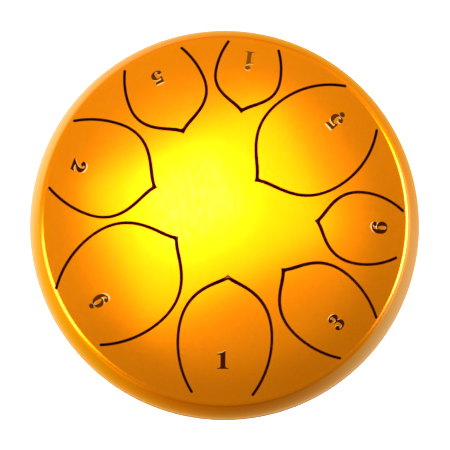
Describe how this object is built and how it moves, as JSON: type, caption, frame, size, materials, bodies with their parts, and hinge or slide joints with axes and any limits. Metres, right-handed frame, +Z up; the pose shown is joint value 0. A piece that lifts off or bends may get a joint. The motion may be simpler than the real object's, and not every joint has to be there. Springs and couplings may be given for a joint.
{
  "type": "steel tongue drum",
  "caption": "Small round steel tongue drum: a domed top with petal tongues cut in it, welded to a bowl with a sound hole, standing on rubber feet. Each tongue flexes at its root.",
  "frame": {"origin": "on the floor under the middle of the drum", "axes": "+Z up along the drum's axis, -Y towards the front, where tongue 1 lies"},
  "size_m": [0.1556, 0.1556, 0.084],
  "materials": {
    "lacquer": "gold-orange metallic lacquer, semi-gloss",
    "rubber": "matt moulded rubber",
    "zinc_steel": "bright zinc plate"
  },
  "bodies": {
    "drum": {"top_shell": "lacquer", "bottom_shell": "lacquer", "seam_weld": "lacquer", "foot_front": "rubber", "foot_right": "rubber", "foot_left": "rubber", "foot_screws": "zinc_steel", "foot_washers": "zinc_steel", "nut_washers": "zinc_steel", "foot_nuts": "zinc_steel"},
    "tongue_1": {"tongue_1": "lacquer"},
    "tongue_3": {"tongue_3": "lacquer"},
    "tongue_6": {"tongue_6": "lacquer"},
    "tongue_low_5": {"tongue_low_5": "lacquer"},
    "tongue_high_1": {"tongue_high_1": "lacquer"},
    "tongue_5": {"tongue_5": "lacquer"},
    "tongue_2": {"tongue_2": "lacquer"},
    "tongue_low_6": {"tongue_low_6": "lacquer"}
  },
  "joints": [
    {"name": "tongue_1_flex", "type": "hinge", "parent": "drum", "child": "tongue_1", "pos_m": [-0.00093, -0.06683, 0.07638], "axis": [-0.9987, 0.0506, 0], "range_deg": [-1, 1], "stiffness_Nm_per_rad": 45.8},
    {"name": "tongue_3_flex", "type": "hinge", "parent": "drum", "child": "tongue_3", "pos_m": [0.05157, -0.04547, 0.07596], "axis": [-0.6665, -0.7455, 0], "range_deg": [-1, 1], "stiffness_Nm_per_rad": 46.8},
    {"name": "tongue_6_flex", "type": "hinge", "parent": "drum", "child": "tongue_6", "pos_m": [0.06767, -0.00544, 0.07623], "axis": [-0.1495, -0.9888, 0], "range_deg": [-1, 1], "stiffness_Nm_per_rad": 49.3},
    {"name": "tongue_low_5_flex", "type": "hinge", "parent": "drum", "child": "tongue_low_5", "pos_m": [0.05294, 0.04364, 0.07607], "axis": [0.575, -0.8181, 0], "range_deg": [-1, 1], "stiffness_Nm_per_rad": 37},
    {"name": "tongue_high_1_flex", "type": "hinge", "parent": "drum", "child": "tongue_high_1", "pos_m": [0.01124, 0.06792, 0.07596], "axis": [0.9836, -0.1805, 0], "range_deg": [-1, 1], "stiffness_Nm_per_rad": 65.3},
    {"name": "tongue_5_flex", "type": "hinge", "parent": "drum", "child": "tongue_5", "pos_m": [-0.02776, 0.06265, 0.07601], "axis": [0.9252, 0.3795, 0], "range_deg": [-1, 1], "stiffness_Nm_per_rad": 66.9},
    {"name": "tongue_2_flex", "type": "hinge", "parent": "drum", "child": "tongue_2", "pos_m": [-0.06314, 0.02564, 0.07596], "axis": [0.342, 0.9397, 0], "range_deg": [-1, 1], "stiffness_Nm_per_rad": 62.3},
    {"name": "tongue_low_6_flex", "type": "hinge", "parent": "drum", "child": "tongue_low_6", "pos_m": [-0.05647, -0.03723, 0.07599], "axis": [-0.6198, 0.7848, 0], "range_deg": [-1, 1], "stiffness_Nm_per_rad": 49.9}
  ]
}
